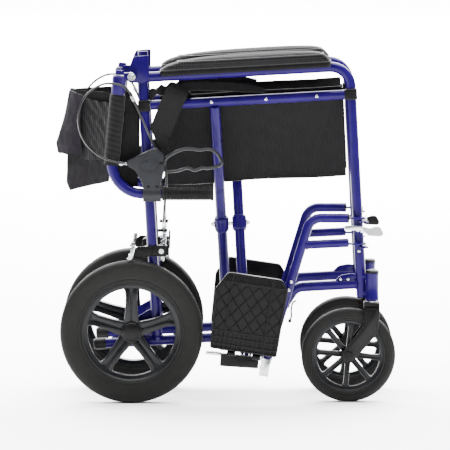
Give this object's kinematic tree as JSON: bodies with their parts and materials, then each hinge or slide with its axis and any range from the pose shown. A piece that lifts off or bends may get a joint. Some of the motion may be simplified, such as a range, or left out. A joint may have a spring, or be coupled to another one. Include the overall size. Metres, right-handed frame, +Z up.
{
  "type": "transport wheelchair",
  "caption": "Folding transport wheelchair shown folded: blue tube frame, cross brace, sling seat, fold-down back, swing-away footrests and spoked wheels.",
  "frame": {"origin": "on the floor under the middle of the folded chair", "axes": "+X towards the chair's front, +Y towards the chair's left side, +Z up"},
  "size_m": [0.7297, 0.304, 0.7552],
  "materials": {
    "enamel": "gloss cobalt blue enamel",
    "tyre": "dark grey rubber tread",
    "grip_rubber": "ribbed black grip rubber",
    "rim": "moulded glass-filled nylon",
    "black_plastic": "grained black plastic",
    "slate_plastic": "slate grey moulded plastic",
    "pad_cloth": "black mesh cloth over foam",
    "nylon": "ribbed black nylon",
    "webbing": "woven webbing",
    "chrome": "bright zinc and chrome plate",
    "cable": "smooth black cable sheath"
  },
  "bodies": {
    "right_frame": {"right_arm_tube": "enamel", "right_rear_post": "enamel", "right_lower_rail": "enamel", "right_hinge_bracket": "enamel", "right_caster_housing": "enamel", "right_arm_pad": "pad_cloth", "right_brake_clamp": "black_plastic", "right_rear_axle": "chrome", "right_brake_cable": "cable"},
    "right_rear_wheel": {"right_rear_tyre": "tyre", "right_rear_rim": "rim"},
    "right_caster": {"right_fork": "black_plastic", "right_front_axle": "chrome"},
    "right_front_wheel": {"right_front_tyre": "tyre", "right_front_rim": "rim"},
    "right_back_cane": {"right_cane": "enamel", "right_hand_grip": "grip_rubber", "right_brake_bracket": "slate_plastic"},
    "right_lever": {"right_brake_lever": "black_plastic"},
    "right_back_cloth": {"right_back_half": "nylon"},
    "right_hanger_arm": {"right_hanger": "enamel"},
    "right_foot_rest": {"right_footplate": "black_plastic"},
    "right_latch": {"right_latch_lever": "chrome"},
    "right_shoe": {"right_brake_shoe": "chrome"},
    "right_clips": {"right_clip_rear": "black_plastic", "right_clip_front": "black_plastic", "seat_belt": "webbing"},
    "right_sling": {"right_sling_half": "nylon"},
    "left_frame": {"left_arm_tube": "enamel", "left_rear_post": "enamel", "left_lower_rail": "enamel", "left_hinge_bracket": "enamel", "left_caster_housing": "enamel", "left_arm_pad": "pad_cloth", "left_brake_clamp": "black_plastic", "left_rear_axle": "chrome", "left_brake_cable": "cable"},
    "left_rear_wheel": {"left_rear_tyre": "tyre", "left_rear_rim": "rim"},
    "left_caster": {"left_fork": "black_plastic", "left_front_axle": "chrome"},
    "left_front_wheel": {"left_front_tyre": "tyre", "left_front_rim": "rim"},
    "left_back_cane": {"left_cane": "enamel", "left_hand_grip": "grip_rubber", "left_brake_bracket": "slate_plastic"},
    "left_lever": {"left_brake_lever": "black_plastic"},
    "left_back_cloth": {"left_back_half": "nylon"},
    "left_hanger_arm": {"left_hanger": "enamel"},
    "left_foot_rest": {"left_footplate": "black_plastic"},
    "left_latch": {"left_latch_lever": "chrome"},
    "left_shoe": {"left_brake_shoe": "chrome"},
    "left_clips": {"left_clip_rear": "black_plastic", "left_clip_front": "black_plastic"},
    "left_sling": {"left_sling_half": "nylon"},
    "brace_a": {"cross_tube_a": "enamel", "pivot_bolt": "chrome", "left_seat_rail": "enamel"},
    "brace_b": {"cross_tube_b": "enamel", "right_seat_rail": "enamel"}
  },
  "joints": [
    {"name": "frame_fold", "type": "hinge", "parent": "right_frame", "child": "brace_a", "pos_m": [0.04684, -0.088, 0.10278], "axis": [-0.9984, 0, -0.0558], "range_deg": [0, 29.5]},
    {"name": "cross_pivot", "type": "hinge", "parent": "brace_a", "child": "brace_b", "pos_m": [0.01274, 0, 0.37229], "axis": [-0.9984, 0, -0.0558], "range_deg": [-59, 0]},
    {"name": "left_lower_pivot", "type": "hinge", "parent": "brace_b", "child": "left_frame", "pos_m": [0.0089, 0.088, 0.10065], "axis": [-0.9984, 0, -0.0558], "range_deg": [0, 29.5]},
    {"name": "right_clip_turn", "type": "hinge", "parent": "brace_b", "child": "right_clips", "pos_m": [-0.03584, -0.088, 0.641], "axis": [-0.9984, 0, -0.0558], "range_deg": [0, 29.5]},
    {"name": "right_sling_turn", "type": "hinge", "parent": "brace_b", "child": "right_sling", "pos_m": [-0.03584, -0.088, 0.641], "axis": [-0.9984, 0, -0.0558], "range_deg": [-29.5, 0]},
    {"name": "right_rear_roll", "type": "hinge", "parent": "right_frame", "child": "right_rear_wheel", "pos_m": [-0.1987, -0.118, 0.1525], "axis": [0, 1, 0], "continuous": true},
    {"name": "right_caster_swivel", "type": "hinge", "parent": "right_frame", "child": "right_caster", "pos_m": [0.315, -0.1015, 0.2145], "axis": [0, 0, 1], "continuous": true},
    {"name": "right_front_roll", "type": "hinge", "parent": "right_caster", "child": "right_front_wheel", "pos_m": [0.2648, -0.1015, 0.1005], "axis": [0, 1, 0], "continuous": true},
    {"name": "right_back_fold", "type": "hinge", "parent": "right_frame", "child": "right_back_cane", "pos_m": [-0.1975, -0.118, 0.6976], "axis": [0, 1, 0], "range_deg": [0, 172], "deforming": ["right_brake_cable"]},
    {"name": "right_back_cloth_turn", "type": "hinge", "parent": "right_back_cane", "child": "right_back_cloth", "pos_m": [-0.2228, -0.118, 0.6986], "axis": [-0.093, 0, -0.9957], "range_deg": [0, 49]},
    {"name": "right_lever_squeeze", "type": "hinge", "parent": "right_back_cane", "child": "right_lever", "pos_m": [-0.1285, -0.118, 0.513], "axis": [0, 1, 0], "range_deg": [0, 14], "stiffness_Nm_per_rad": 0.6, "springref_deg": -8.59},
    {"name": "right_shoe_press", "type": "hinge", "parent": "right_frame", "child": "right_shoe", "pos_m": [-0.162, -0.104, 0.324], "axis": [0, 1, 0], "range_deg": [-3.5, 0]},
    {"name": "right_hanger_swing", "type": "hinge", "parent": "right_frame", "child": "right_hanger_arm", "pos_m": [0.299, -0.108, 0.3675], "axis": [-0.0558, 0, 0.9984], "range_deg": [0, 180]},
    {"name": "right_footplate_flip", "type": "hinge", "parent": "right_hanger_arm", "child": "right_foot_rest", "pos_m": [0.0397, -0.139, 0.1005], "axis": [0.989, 0, -0.1478], "range_deg": [0, 90]},
    {"name": "right_latch_press", "type": "hinge", "parent": "right_frame", "child": "right_latch", "pos_m": [0.2853, -0.111, 0.374], "axis": [0, 1, 0], "range_deg": [0, 8], "stiffness_Nm_per_rad": 0.3, "springref_deg": -5.73},
    {"name": "left_clip_turn", "type": "hinge", "parent": "brace_a", "child": "left_clips", "pos_m": [-0.03584, 0.088, 0.641], "axis": [-0.9984, 0, -0.0558], "range_deg": [-29.5, 0]},
    {"name": "left_sling_turn", "type": "hinge", "parent": "brace_a", "child": "left_sling", "pos_m": [-0.03584, 0.088, 0.641], "axis": [-0.9984, 0, -0.0558], "range_deg": [0, 29.5]},
    {"name": "left_rear_roll", "type": "hinge", "parent": "left_frame", "child": "left_rear_wheel", "pos_m": [-0.1987, 0.118, 0.1525], "axis": [0, 1, 0], "continuous": true},
    {"name": "left_caster_swivel", "type": "hinge", "parent": "left_frame", "child": "left_caster", "pos_m": [0.315, 0.1015, 0.2145], "axis": [0, 0, 1], "continuous": true},
    {"name": "left_front_roll", "type": "hinge", "parent": "left_caster", "child": "left_front_wheel", "pos_m": [0.2648, 0.1015, 0.1005], "axis": [0, 1, 0], "continuous": true},
    {"name": "left_back_fold", "type": "hinge", "parent": "left_frame", "child": "left_back_cane", "pos_m": [-0.1975, 0.118, 0.6976], "axis": [0, 1, 0], "range_deg": [0, 172], "deforming": ["left_brake_cable"]},
    {"name": "left_back_cloth_turn", "type": "hinge", "parent": "left_back_cane", "child": "left_back_cloth", "pos_m": [-0.2228, 0.118, 0.6986], "axis": [0.093, 0, 0.9957], "range_deg": [0, 49]},
    {"name": "left_lever_squeeze", "type": "hinge", "parent": "left_back_cane", "child": "left_lever", "pos_m": [-0.1285, 0.118, 0.513], "axis": [0, 1, 0], "range_deg": [0, 14], "stiffness_Nm_per_rad": 0.6, "springref_deg": -8.59},
    {"name": "left_shoe_press", "type": "hinge", "parent": "left_frame", "child": "left_shoe", "pos_m": [-0.162, 0.104, 0.324], "axis": [0, 1, 0], "range_deg": [-3.5, 0]},
    {"name": "left_hanger_swing", "type": "hinge", "parent": "left_frame", "child": "left_hanger_arm", "pos_m": [0.299, 0.108, 0.3675], "axis": [0.0558, 0, -0.9984], "range_deg": [0, 180]},
    {"name": "left_footplate_flip", "type": "hinge", "parent": "left_hanger_arm", "child": "left_foot_rest", "pos_m": [0.0397, 0.139, 0.1005], "axis": [-0.989, 0, 0.1478], "range_deg": [0, 90]},
    {"name": "left_latch_press", "type": "hinge", "parent": "left_frame", "child": "left_latch", "pos_m": [0.2853, 0.111, 0.374], "axis": [0, 1, 0], "range_deg": [0, 8], "stiffness_Nm_per_rad": 0.3, "springref_deg": -5.73}
  ],
  "couplings": [
    {"joint": "cross_pivot", "follows": "frame_fold", "ratio": -2},
    {"joint": "left_lower_pivot", "follows": "frame_fold", "ratio": 1},
    {"joint": "right_clip_turn", "follows": "frame_fold", "ratio": 1},
    {"joint": "right_sling_turn", "follows": "frame_fold", "ratio": -1},
    {"joint": "right_back_cloth_turn", "follows": "frame_fold", "ratio": 1.66},
    {"joint": "right_shoe_press", "follows": "right_lever_squeeze", "ratio": -0.25},
    {"joint": "left_clip_turn", "follows": "frame_fold", "ratio": -1},
    {"joint": "left_sling_turn", "follows": "frame_fold", "ratio": 1},
    {"joint": "left_back_cloth_turn", "follows": "frame_fold", "ratio": 1.66},
    {"joint": "left_shoe_press", "follows": "left_lever_squeeze", "ratio": -0.25},
    {"joint": "left_back_fold", "follows": "right_back_fold", "ratio": 1}
  ]
}
